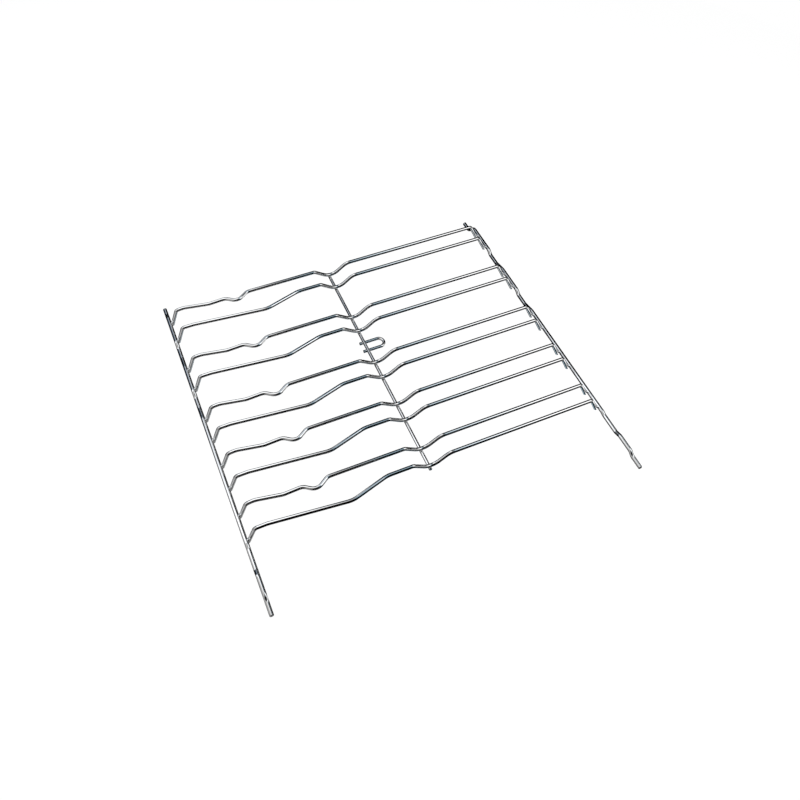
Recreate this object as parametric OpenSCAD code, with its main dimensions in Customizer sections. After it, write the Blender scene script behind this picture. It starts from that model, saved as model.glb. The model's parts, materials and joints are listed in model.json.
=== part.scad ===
// Side rack of an oven: a flat ladder of welded round wire that hangs on the cavity's side wall.
// It lies with the wall side down. X runs along the rungs, +Y is the rack's upper end, +Z faces
// into the oven. Each pair of rungs holds the rim of one tray between them.

/* [Overall] */
// distance between the axes of the two uprights
upright_gap = 347; // [300:1:400]
// length of an upright from end to end, along Y
upright_len = 355.5; // [355:0.5:380]
// height of the rungs' straight axis above the uprights' axis
rung_h = 14.6; // [13:0.1:18]

/* [Wires] */
// diameter of the two uprights
upright_d = 3.9; // [3:0.1:4.5]
// diameter of the rungs
rung_d = 3.5; // [2.8:0.1:4]
// diameter of the brace and of the hook
brace_d = 3.1; // [2.4:0.1:3.6]
// how far two crossing wires are pressed into each other where they are welded
weld_sink = 0.3; // [0.1:0.05:0.5]
// chamfer on the cut ends of the uprights
end_chamfer = 0.4; // [0.2:0.1:0.8]

/* [Levels] */
// distance from the uprights' upper end to the first rung
first_rung = 32; // [30:0.5:36]
// distance between the two rungs of a pair, on the straight right half
pair_gap = 19; // [15:0.5:20]
// steps from each pair of rungs to the next one, from the top down
level_steps = [64.1, 61.9, 53.1, 52.9];

/* [Rung ends] */
// slant of the left legs away from upright
left_slant = 22.5; // [15:0.1:28]
// slant of the right legs away from upright
right_slant = 26.5; // [15:0.1:30]
// how far a leg reaches past the upright's axis
leg_past = 3.5; // [2.5:0.1:4]
// bend radius between a leg and its rung, on the axis
leg_bend = 3; // [2.5:0.1:4]

/* [Rung shapes] */
// sideways place of the left ends of the upper rungs
upper_left_y = 2; // [0:0.1:3]
// sideways place of the left ends of the lower rungs
lower_left_y = -3.4; // [-5:0.1:-2]
// bend points of an upper rung's left half, from the left leg's bend and from the straight axis
upper_bends = [[7.5, 2.7], [31.9, -1.65], [49.3, -0.85], [59.8, -8.45], [72, 0]];
// bend radii at those points
upper_radii = [20, 15, 9, 8.3, 8.3];
// bend points of a lower rung's left half, measured in the same way
lower_bends = [[11, -3.2], [84, -10.5], [119.6, 0]];
// bend radii at those points
lower_radii = [21.5, 23, 25];

/* [Dip over the brace] */
// place of the dips' corner, from the middle of the rack
dip_x = -1.6; // [-20:0.1:20]
// depth of the sharp corner that the dip is bent from
dip_corner = 13.2; // [11:0.1:15]
// distance from the dip's corner to its left shoulder
dip_left = 17.6; // [15:0.1:20]
// distance from the dip's corner to its right shoulder
dip_right = 17.4; // [15:0.1:24]
// bend radius at the left shoulder
dip_left_bend = 4; // [3:0.5:10]
// bend radius at the bottom of the dip
dip_bend = 13; // [8:0.5:15]
// bend radius at the right shoulder
dip_right_bend = 13.5; // [8:0.5:16]

/* [Uprights] */
// how far the upper ends are set back towards the wall
top_set = 10.7; // [8:0.1:12]
// length of the straight upper end
top_end = 11; // [9:0.5:12]
// length along Y of the slope between the upper end and the straight
top_slope = 11.5; // [9:0.5:14]
// depth of the two shallow cranks between the upper pairs
crank = 3.3; // [2:0.1:4]
// ways down from a pair's lower rung to the four bends of the crank below it
crank_ways = [7, 12, 26, 39];
// bend radius of the uprights
upright_bend = 6; // [5:0.5:7]
// bends of the foot below the last rung: way down from the last rung, height over the straight axis
foot_bends = [[7.7, 0], [11.1, -1.1], [31.5, -1.1], [37.5, 1], [54.8, 1], [59.5, -1.9]];

/* [Brace and hook] */
// place of the brace, from the middle of the rack
brace_x = -3; // [-20:0.5:20]
// how far the brace reaches past the axes of the first and the last rung
brace_past = 2.6; // [1.8:0.1:5]
// distance from the first rung to the hook's middle
hook_y = 100.1; // [97:0.1:103]
// distance between the hook's two legs
hook_gap = 10.5; // [8:0.1:12]
// reach of the hook's round loop past the brace, to the loop's centre
hook_reach = 14.2; // [12:0.1:22]
// how far the hook's cut ends stick out beyond the brace's axis
hook_tail = 4; // [3:0.1:6]

/* [Hidden] */
$fn = 40;
// swelling of the wire's radius in a bend, and how far a straight runs into the bend
swell = 0.02;
run_in = 0.1;

// height of the uprights' straight axis: the bends of the set-back upper ends are the lowest part
upright_z = top_set + upright_d / 2 + swell;
rung_z = upright_z + rung_h;
top_y = upright_len / 2 - first_rung;
// Y of the upper rung of each pair, counted from 0
function level_y(i) = i == 0 ? top_y : level_y(i - 1) - level_steps[i - 1];
last_y = level_y(len(level_steps)) - pair_gap;

// distance from an upright's axis to the corner of a leg that leans against it
function leg_foot(slant) =
    ((upright_d + rung_d) / 2 - weld_sink) / cos(slant) + rung_h * tan(slant);
left_x = -upright_gap / 2 + leg_foot(left_slant);
right_x = upright_gap / 2 - leg_foot(right_slant);
leg_drop = rung_h + leg_past;

// the dip's two slopes, the middle of its round bottom, and its depth where the brace crosses
dip_a = atan(dip_corner / dip_left);
dip_b = atan(dip_corner / dip_right);
dip_arm = dip_bend / cos((dip_a + dip_b) / 2);
dip_mid = dip_x + dip_arm * sin((dip_a - dip_b) / 2);
dip_low = dip_corner - dip_arm * cos((dip_a - dip_b) / 2)
    + sqrt(pow(dip_bend, 2) - pow(brace_x - dip_mid, 2));
brace_z = rung_z - dip_low - (rung_d + brace_d) / 2 + weld_sink;
hook_z = brace_z - brace_d + weld_sink;

function unit(v) = v / norm(v);
// straight length taken up by a bend at corner b
function cut(a, b, c, r) = r * tan(acos(unit(b - a) * unit(c - b)) / 2);

// straight wire from a to b; c is the chamfer on the end at b
module rod(a, b, d, c = 0) {
    v = b - a;
    h = norm(v);
    translate(a)
        rotate([0, acos(v[2] / h), atan2(v[1], v[0])])
            if (c > 0) rotate_extrude()
                polygon([[0, 0], [d / 2, 0], [d / 2, h - c], [d / 2 - c, h], [0, h]]);
            else cylinder(d = d, h = h);
}

// round bend of the wire at corner b, on the way from a to c; bending swells it a little
module elbow(a, b, c, r, d) {
    u = unit(b - a);
    w = unit(c - b);
    n = unit(cross(u, w));
    k = cross(n, u);
    o = b - u * cut(a, b, c, r) + k * r;
    multmatrix([[-k[0], u[0], n[0], o[0]], [-k[1], u[1], n[1], o[1]],
            [-k[2], u[2], n[2], o[2]], [0, 0, 0, 1]])
        rotate_extrude(angle = acos(u * w)) translate([r, 0]) circle(d = d + 2 * swell);
}

// one bent wire: p are its end points and corners, r the bend radius at each corner,
// c the chamfer on its two cut ends; the straights run a little way into the bends
module wire(p, r, d, c = 0) {
    n = len(p) - 1;
    for (i = [0:n - 1]) {
        u = unit(p[i + 1] - p[i]);
        s = i == 0 ? p[0] : p[i] + u * (cut(p[i - 1], p[i], p[i + 1], r[i - 1]) - run_in);
        e = i == n - 1 ? p[n]
            : p[i + 1] - u * (cut(p[i], p[i + 1], p[i + 2], r[i]) - run_in);
        if (i == 0) rod(e, s, d, c);
        else rod(s, e, d, i == n - 1 ? c : 0);
    }
    for (i = [1:n - 1]) elbow(p[i - 1], p[i], p[i + 1], r[i - 1], d);
}

// a rung whose straight axis is at y: left leg, shaped left half, dip, straight half, right leg
module rung(y, left_y, bends, radii) {
    p = concat(
        [[left_x - leg_drop * tan(left_slant), y + left_y, rung_z - leg_drop],
            [left_x, y + left_y, rung_z]],
        [for (b = bends) [left_x + b[0], y + b[1], rung_z]],
        [[dip_x - dip_left, y, rung_z],
            [dip_x, y, rung_z - dip_corner],
            [dip_x + dip_right, y, rung_z],
            [right_x, y, rung_z],
            [right_x + leg_drop * tan(right_slant), y, rung_z - leg_drop]]);
    r = concat([leg_bend], radii, [dip_left_bend, dip_bend, dip_right_bend, leg_bend]);
    color([0.75, 0.76, 0.78]) difference() {
        wire(p, r, rung_d);
        // seats pressed in by the uprights and by the brace
        for (s = [-1, 1]) translate([s * upright_gap / 2, y, upright_z])
            rotate([90, 0, 0]) cylinder(d = upright_d, h = 3 * rung_d, center = true);
        translate([brace_x, y, brace_z])
            rotate([90, 0, 0]) cylinder(d = brace_d, h = 3 * rung_d, center = true);
    }
}

module rung_upper(i) rung(level_y(i), upper_left_y, upper_bends, upper_radii);
module rung_lower(i) rung(level_y(i) - pair_gap, lower_left_y, lower_bends, lower_radii);

// an upright at x: set-back upper end, two shallow cranks, straight run and bent foot
module upright(x) {
    y1 = level_y(0) - pair_gap;
    y2 = level_y(1) - pair_gap;
    end_y = upright_len / 2;
    yz = concat(
        [[end_y, -top_set], [upright_len / 2 - top_end, -top_set],
            [upright_len / 2 - top_end - top_slope, 0]],
        [for (y = [y1, y2]) for (i = [0:3]) [y - crank_ways[i], i == 0 || i == 3 ? 0 : -crank]],
        [for (f = foot_bends) [last_y - f[0], f[1]]],
        [[-end_y, foot_bends[len(foot_bends) - 1][1]]]);
    p = [for (q = yz) [x, q[0], upright_z + q[1]]];
    color([0.72, 0.73, 0.75])
        wire(p, [for (i = [2:len(p) - 1]) upright_bend], upright_d, end_chamfer);
}

module left_upright() upright(-upright_gap / 2);
module right_upright() upright(upright_gap / 2);

module brace() color([0.74, 0.75, 0.77])
    rod([brace_x, last_y - brace_past, brace_z], [brace_x, top_y + brace_past, brace_z], brace_d);

// a U of wire under the brace, its loop to the right
module wall_hook() {
    y = top_y - hook_y;
    color([0.74, 0.75, 0.77]) difference() {
        union() {
            for (s = [-1, 1])
                rod([brace_x - hook_tail, y + s * hook_gap / 2, hook_z],
                    [brace_x + hook_reach + run_in, y + s * hook_gap / 2, hook_z], brace_d);
            translate([brace_x + hook_reach, y, hook_z])
                rotate([0, 0, -90]) rotate_extrude(angle = 180)
                    translate([hook_gap / 2, 0]) circle(d = brace_d + 2 * swell);
        }
        // seats pressed in by the brace
        translate([brace_x, y, brace_z])
            rotate([90, 0, 0]) cylinder(d = brace_d, h = hook_gap + 3 * brace_d, center = true);
    }
}

left_upright();
right_upright();
rung_upper(0);  // rung_1_upper
rung_lower(0);  // rung_1_lower
rung_upper(1);  // rung_2_upper
rung_lower(1);  // rung_2_lower
rung_upper(2);  // rung_3_upper
rung_lower(2);  // rung_3_lower
rung_upper(3);  // rung_4_upper
rung_lower(3);  // rung_4_lower
rung_upper(4);  // rung_5_upper
rung_lower(4);  // rung_5_lower
brace();
wall_hook();
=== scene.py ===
"""Oven side rack of chromed wire: looks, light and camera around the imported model."""

import json
import math

import bmesh
import bpy
from mathutils import Matrix, Vector

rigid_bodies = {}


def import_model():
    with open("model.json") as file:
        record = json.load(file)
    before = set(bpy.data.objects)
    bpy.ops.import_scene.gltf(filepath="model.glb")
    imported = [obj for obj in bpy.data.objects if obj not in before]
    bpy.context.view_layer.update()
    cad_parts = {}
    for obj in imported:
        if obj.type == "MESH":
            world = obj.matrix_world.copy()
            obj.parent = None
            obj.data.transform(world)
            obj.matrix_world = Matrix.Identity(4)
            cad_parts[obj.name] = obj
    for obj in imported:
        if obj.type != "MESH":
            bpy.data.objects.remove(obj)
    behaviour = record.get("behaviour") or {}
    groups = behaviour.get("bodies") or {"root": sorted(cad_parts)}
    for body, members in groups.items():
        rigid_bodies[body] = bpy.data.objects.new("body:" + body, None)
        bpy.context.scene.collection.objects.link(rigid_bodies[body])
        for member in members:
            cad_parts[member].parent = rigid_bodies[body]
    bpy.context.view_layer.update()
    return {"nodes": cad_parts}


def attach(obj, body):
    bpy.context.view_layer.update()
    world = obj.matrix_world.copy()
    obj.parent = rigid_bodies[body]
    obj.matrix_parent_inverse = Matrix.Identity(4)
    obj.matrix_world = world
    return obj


for thing in list(bpy.data.objects):
    bpy.data.objects.remove(thing)

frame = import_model()

MM = 0.001

# the part's own sizes that the welds follow, in mm and degrees
UPRIGHT_X = 173.5
UPRIGHT_Z = 12.67
UPRIGHT_D = 3.9
BRACE_X = -3.0
BRACE_Z = 14.424
BRACE_D = 3.1
WELD_SINK = 0.3
LEFT_SLANT = 22.5
RIGHT_SLANT = 26.5
FIRST_RUNG_Y = 145.75
LEVEL_STEPS = (64.1, 61.9, 53.1, 52.9)
PAIR_GAP = 19.0
UPPER_LEFT_Y = 2.0
LOWER_LEFT_Y = -3.4
HOOK_LEGS_Y = (50.9, 40.4)

# half width and half thickness of the nuggets of weld metal, in mm
LEG_WELD = (1.55, 0.75)
BRACE_WELD = (1.45, 0.7)
HOOK_WELD = (1.3, 0.6)
WELD_SEGMENTS = 24
WELD_RINGS = 14

# features per metre of the plate's drift in roughness, of its waves and of its fine grain
DRIFT_SCALE = 350.0
WAVE_SCALE = 60.0
GRAIN_SCALE = 2500.0
# share of the noise's range between the smoothest and the roughest plate
DRIFT_LOW = 0.3
DRIFT_HIGH = 0.7
GRAIN_HEIGHT = 0.0005 * MM
GRAIN_STRENGTH = 0.2

# radius of the round tent around the rack, in metres, and the strength of its light
TENT = 0.9
TENT_STRENGTH = 1.1
# the floor ends just inside the tent and lies just below the rack
FLOOR_RADIUS = 0.995 * TENT
FLOOR_Z = -0.5 * MM
FLOOR_GREY = 0.16
# what the floor adds to its own shade for the camera, so that it comes out white
FLOOR_GLOW = 0.975

# lens and sensor in mm, place in metres, turn in degrees
CAMERA_LENS = 34.465
CAMERA_SENSOR = 36
CAMERA_PLACE = (-0.178852, -0.399970, 0.605641)
CAMERA_TURN = (34.9169, -1.6073, -23.6489)

RIGHT = (1, 0, 0)
LEFT = (-1, 0, 0)
BACK = (0, 1, 0)
FRONT = (0, -1, 0)
UP = (0, 0, 1)
DOWN = (0, 0, -1)


def grey(level):
    """A neutral colour."""
    return (level, level, level)


# The panels of the tent, which add up. Each has a colour and the edges that bound it: the
# direction from an edge's dark side to its bright side, the edge's place along that direction
# and the width over which it fades, both as shares of the tent's radius. A flag's colour is
# below zero: it takes light away.
PANELS = {
    "white roof at the left": (
        (1.42, 1.41, 1.4),
        ((0.25, 0.15, 0.95), 0.88, 0.17),
        (LEFT, 0.07, 0.34)),
    "grey roof at the right": (
        grey(0.43),
        ((0, -0.25, 0.95), 0.8, 0.1),
        ((0.85, 0.55, 0.15), 0.08, 0.19)),
    "white wall at the right": (
        grey(1.49),
        ((0.95, 0.15, 0.3), 0.53, 0.14),
        ((0.3, -0.4, 0.85), 0.85, 0.72),
        ((0.05, -0.55, -0.85), -0.72, 0.48),
        ((0.4, 0.85, -0.3), -0.52, 0.15)),
    "grey corner at the front right": (
        grey(0.34),
        ((0.45, -0.75, -0.5), 0.68, 0.35),
        ((1, 0.2, 0), 0.46, 0.12),
        ((0.25, 0.4, 0.85), -0.43, 0.24),
        ((0.2, 0.6, -0.8), -0.38, 0.3)),
    "grey wall at the left": (
        (0.49, 0.48, 0.47),
        ((-0.95, -0.15, 0.25), 0.47, 0.19),
        ((-0.3, 0.95, -0.05), -0.32, 0.38),
        (FRONT, -0.39, 0.18),
        ((0.75, 0.1, 0.65), -0.31, 0.32)),
    "grey wall high at the back": (
        (0.51, 0.52, 0.54),
        ((0.2, 0.15, 0.95), 0.28, 0.13),
        ((-0.8, -0.45, 0.35), -0.1, 0.25),
        (BACK, 0.24, 0.18)),
    "flag at the back left": (
        grey(-0.74),
        (RIGHT, -0.89, 0.13),
        ((-1, 0.1, 0.1), 0.32, 0.18),
        ((-0.15, 1, -0.15), 0.53, 0.21),
        ((-0.15, 0.15, -1), -0.74, 0.33)),
    "flag at the back": (
        grey(-0.55),
        ((1, 0, -0.1), -0.06, 0.1),
        ((-1, 0, 0.05), -0.25, 0.1),
        ((0.3, 0.95, -0.1), 0.1, 0.19)),
    "dim wall low at the left": (
        grey(0.27),
        ((-0.95, 0.05, -0.3), 0.58, 0.31),
        ((-0.2, -0.95, 0.3), -0.25, 0.19),
        ((-0.15, -0.3, -0.95), -0.39, 0.21),
        ((0.15, -0.05, 1), -0.59, 0.19)),
    "dim corner at the front left": (
        grey(0.16),
        ((-0.45, 0.45, -0.8), 0.37, 0.31),
        ((-0.9, 0, -0.4), 0.02, 0.28),
        ((-0.35, -0.85, -0.35), 0.44, 0.26)),
    "dim wall at the back left": (
        (0.31, 0.33, 0.35),
        (LEFT, -0.12, 0.07),
        (BACK, 0.31, 0.21),
        ((-0.05, 0, 1), 0.17, 0.19),
        (DOWN, -0.87, 0.1)),
    "flag at the back right": (
        grey(-0.79),
        (RIGHT, 0.14, 0.07),
        (BACK, 0.08, 0.18),
        (DOWN, -0.88, 0.1),
        (LEFT, -0.58, 0.1)),
    "low wall at the right, for the right legs": (
        grey(0.8),
        (RIGHT, 0.62, 0.09),
        (FRONT, 0.02, 0.1),
        (BACK, -0.45, 0.1),
        (DOWN, 0.05, 0.1)),
    "round panel below, for all legs": (
        grey(0.65),
        (DOWN, 0.95, 0.03)),
}
# a cool tint across the middle, bounded in the same way
COOL = ((-0.085, 0.0, 0.055), (RIGHT, 0.13, 0.14), (LEFT, -0.42, 0.24))
# the tint fades out where the tent is darker than this
COOL_FROM = 0.1


def node(tree, kind, **values):
    """A shader node with its sockets or properties set by name."""
    made = tree.nodes.new(kind)
    for name, value in values.items():
        if name in made.inputs:
            made.inputs[name].default_value = value
        else:
            setattr(made, name, value)
    return made


def math_node(tree, operation, first, second):
    """The output of a maths node; first and second are numbers or outputs."""
    made = node(tree, "ShaderNodeMath", operation=operation)
    for socket, value in zip(made.inputs, (first, second)):
        if isinstance(value, (int, float)):
            socket.default_value = value
        else:
            tree.links.new(value, socket)
    return made.outputs[0]


def noise(tree, vector, scale, detail):
    """Noise that is laid through the object, features per metre in scale."""
    made = node(tree, "ShaderNodeTexNoise", Scale=scale, Detail=detail)
    tree.links.new(vector, made.inputs["Vector"])
    return made.outputs["Fac"]


def empty_tree(owner):
    """The node tree of a material or world, with nothing in it."""
    owner.use_nodes = True
    owner.node_tree.nodes.clear()
    return owner.node_tree


def add_object(name, solid):
    """An object made from a solid in edit form, which is used up."""
    mesh = bpy.data.meshes.new(name)
    solid.to_mesh(mesh)
    solid.free()
    thing = bpy.data.objects.new(name, mesh)
    bpy.context.scene.collection.objects.link(thing)
    return thing


def chrome(name, tint, smooth, rough, wave):
    """Polished chrome plate on drawn wire: roughness drifts from smooth to rough along the
    surface, and the plate is a little wavy; wave is the waves' height in metres."""
    material = bpy.data.materials.new(name)
    material.use_nodes = True
    tree = material.node_tree
    plate = tree.nodes["Principled BSDF"]
    plate.inputs["Metallic"].default_value = 1.0
    plate.inputs["Base Color"].default_value = (*tint, 1)
    place = node(tree, "ShaderNodeTexCoord").outputs["Object"]
    drift = node(tree, "ShaderNodeMapRange")
    tree.links.new(noise(tree, place, DRIFT_SCALE, detail=3.0), drift.inputs["Value"])
    drift.inputs["From Min"].default_value = DRIFT_LOW
    drift.inputs["From Max"].default_value = DRIFT_HIGH
    drift.inputs["To Min"].default_value = smooth
    drift.inputs["To Max"].default_value = rough
    tree.links.new(drift.outputs[0], plate.inputs["Roughness"])
    waves = node(tree, "ShaderNodeBump", Strength=1.0, Distance=wave)
    tree.links.new(noise(tree, place, WAVE_SCALE, detail=1.0), waves.inputs["Height"])
    grain = node(tree, "ShaderNodeBump", Strength=GRAIN_STRENGTH, Distance=GRAIN_HEIGHT)
    tree.links.new(noise(tree, place, GRAIN_SCALE, detail=2.0), grain.inputs["Height"])
    tree.links.new(waves.outputs[0], grain.inputs["Normal"])
    tree.links.new(grain.outputs[0], plate.inputs["Normal"])
    return material


def floor_material():
    """Matt grey that shows the rack's shadow, with a glow that only the camera sees."""
    material = bpy.data.materials.new("floor")
    tree = empty_tree(material)
    both = node(tree, "ShaderNodeAddShader")
    matt = node(tree, "ShaderNodeBsdfDiffuse", Color=(FLOOR_GREY, FLOOR_GREY, FLOOR_GREY, 1))
    glow = node(tree, "ShaderNodeEmission", Color=(1, 1, 1, 1))
    seen = node(tree, "ShaderNodeLightPath").outputs["Is Camera Ray"]
    tree.links.new(math_node(tree, "MULTIPLY", seen, FLOOR_GLOW), glow.inputs["Strength"])
    tree.links.new(matt.outputs[0], both.inputs[0])
    tree.links.new(glow.outputs[0], both.inputs[1])
    tree.links.new(both.outputs[0], node(tree, "ShaderNodeOutputMaterial").inputs[0])
    return material


def edge(tree, way, direction, at, soft):
    """1 on the bright side of an edge, 0 on its dark side."""
    along = node(tree, "ShaderNodeVectorMath", operation="DOT_PRODUCT")
    tree.links.new(way, along.inputs[0])
    along.inputs[1].default_value = Vector(direction).normalized()
    step = node(tree, "ShaderNodeMapRange", interpolation_type="SMOOTHSTEP")
    tree.links.new(along.outputs["Value"], step.inputs["Value"])
    step.inputs["From Min"].default_value = at - soft / 2
    step.inputs["From Max"].default_value = at + soft / 2
    return step.outputs[0]


def within(tree, way, edges):
    """1 on the bright side of all the edges."""
    part = 1.0
    for direction, at, soft in edges:
        part = math_node(tree, "MULTIPLY", part, edge(tree, way, direction, at, soft))
    return part


def add_light(tree, light, colour, strength):
    """The light with a colour added to it at a strength."""
    shine = node(tree, "ShaderNodeVectorMath", operation="SCALE")
    shine.inputs[0].default_value = colour
    tree.links.new(strength, shine.inputs["Scale"])
    total = node(tree, "ShaderNodeVectorMath", operation="ADD")
    tree.links.new(light, total.inputs[0])
    tree.links.new(shine.outputs[0], total.inputs[1])
    return total.outputs[0]


def tent_material():
    """The tent's light: black between its panels, and tinted where the cool tint lies."""
    material = bpy.data.materials.new("tent")
    material.cycles.emission_sampling = "NONE"
    tree = empty_tree(material)
    straight = node(tree, "ShaderNodeVectorMath", operation="NORMALIZE")
    tree.links.new(node(tree, "ShaderNodeTexCoord").outputs["Object"], straight.inputs[0])
    way = straight.outputs[0]
    light = node(tree, "ShaderNodeCombineXYZ").outputs[0]
    for colour, *edges in PANELS.values():
        light = add_light(tree, light, colour, within(tree, way, edges))
    # the green part stands for the brightness, because the tint leaves it as it is
    bright = node(tree, "ShaderNodeSeparateXYZ")
    tree.links.new(light, bright.inputs[0])
    some = node(tree, "ShaderNodeMapRange")
    tree.links.new(bright.outputs["Y"], some.inputs["Value"])
    some.inputs["From Max"].default_value = COOL_FROM
    colour, *edges = COOL
    tint = math_node(tree, "MULTIPLY", within(tree, way, edges), some.outputs[0])
    light = add_light(tree, light, colour, tint)
    lit = node(tree, "ShaderNodeVectorMath", operation="MAXIMUM")
    tree.links.new(light, lit.inputs[0])
    glow = node(tree, "ShaderNodeEmission", Strength=TENT_STRENGTH)
    tree.links.new(lit.outputs[0], glow.inputs["Color"])
    tree.links.new(glow.outputs[0], node(tree, "ShaderNodeOutputMaterial").inputs[0])
    return material


def add_weld(solid, place, normal, size):
    """A flat nugget of weld metal at place, lying across normal; size is its half width and
    half thickness; all in mm."""
    wide, thick = size
    turn = Vector(normal).to_track_quat("Z", "Y").to_matrix().to_4x4()
    shape = Matrix.Diagonal((wide, wide, thick, 1))
    spot = Matrix.Translation(Vector(place))
    bmesh.ops.create_uvsphere(solid, u_segments=WELD_SEGMENTS, v_segments=WELD_RINGS, radius=1.0,
                              matrix=Matrix.Scale(MM, 4) @ spot @ turn @ shape)


def add_leg_weld(solid, side, slant, y):
    """The weld between an upright and a rung's leg; side is 1 at the left, -1 at the right."""
    tilt = math.radians(slant)
    normal = Vector((side * math.cos(tilt), 0, -math.sin(tilt)))
    touch = UPRIGHT_D / 2 - WELD_SINK / 2
    add_weld(solid, Vector((-side * UPRIGHT_X, y, UPRIGHT_Z)) + normal * touch, normal, LEG_WELD)


def all_welds():
    """The welds of the ten rungs on the uprights and the brace, and of the hook."""
    solid = bmesh.new()
    touch = BRACE_D / 2 - WELD_SINK / 2
    for level in range(len(LEVEL_STEPS) + 1):
        upper = FIRST_RUNG_Y - sum(LEVEL_STEPS[:level])
        for y, left_y in ((upper, UPPER_LEFT_Y), (upper - PAIR_GAP, LOWER_LEFT_Y)):
            add_leg_weld(solid, 1, LEFT_SLANT, y + left_y)
            add_leg_weld(solid, -1, RIGHT_SLANT, y)
            add_weld(solid, (BRACE_X, y, BRACE_Z + touch), UP, BRACE_WELD)
    for y in HOOK_LEGS_Y:
        add_weld(solid, (BRACE_X, y, BRACE_Z - touch), UP, HOOK_WELD)
    for face in solid.faces:
        face.smooth = True
    return add_object("welds", solid)


# the plate on the wires, and the rougher plate on the weld metal
wire = chrome("chrome_wire", tint=(0.94, 0.945, 0.95), smooth=0.015, rough=0.04, wave=0.005 * MM)
weld = chrome("chrome_weld", tint=(0.90, 0.905, 0.91), smooth=0.06, rough=0.15, wave=0.03 * MM)
for thing in frame["nodes"].values():
    thing.data.materials.clear()
    thing.data.materials.append(wire)

welds = all_welds()
welds.data.materials.append(weld)
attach(welds, "root")

# the floor is white for the camera, keeps the rack's faint shadow and doesn't show in the chrome
disc = bmesh.new()
bmesh.ops.create_circle(disc, cap_ends=True, segments=128, radius=FLOOR_RADIUS)
floor = add_object("floor", disc)
floor.location.z = FLOOR_Z
floor.visible_glossy = False
floor.data.materials.append(floor_material())

# the tent lights the rack and shows in its chrome, but the camera doesn't see it
ball = bmesh.new()
bmesh.ops.create_uvsphere(ball, u_segments=64, v_segments=32, radius=TENT)
tent = add_object("tent", ball)
tent.visible_camera = False
tent.data.materials.append(tent_material())

# a world that is white for the camera only
world = bpy.data.worlds.new("white")
bpy.context.scene.world = world
tree = empty_tree(world)
back = node(tree, "ShaderNodeBackground", Color=(1, 1, 1, 1))
tree.links.new(node(tree, "ShaderNodeLightPath").outputs["Is Camera Ray"], back.inputs["Strength"])
tree.links.new(back.outputs[0], node(tree, "ShaderNodeOutputWorld").inputs[0])

camera_data = bpy.data.cameras.new("camera")
camera_data.lens = CAMERA_LENS
camera_data.sensor_width = CAMERA_SENSOR
camera = bpy.data.objects.new("camera", camera_data)
camera.location = CAMERA_PLACE
camera.rotation_euler = [math.radians(angle) for angle in CAMERA_TURN]
bpy.context.scene.collection.objects.link(camera)
bpy.context.scene.camera = camera
bpy.context.scene.view_settings.view_transform = "Standard"
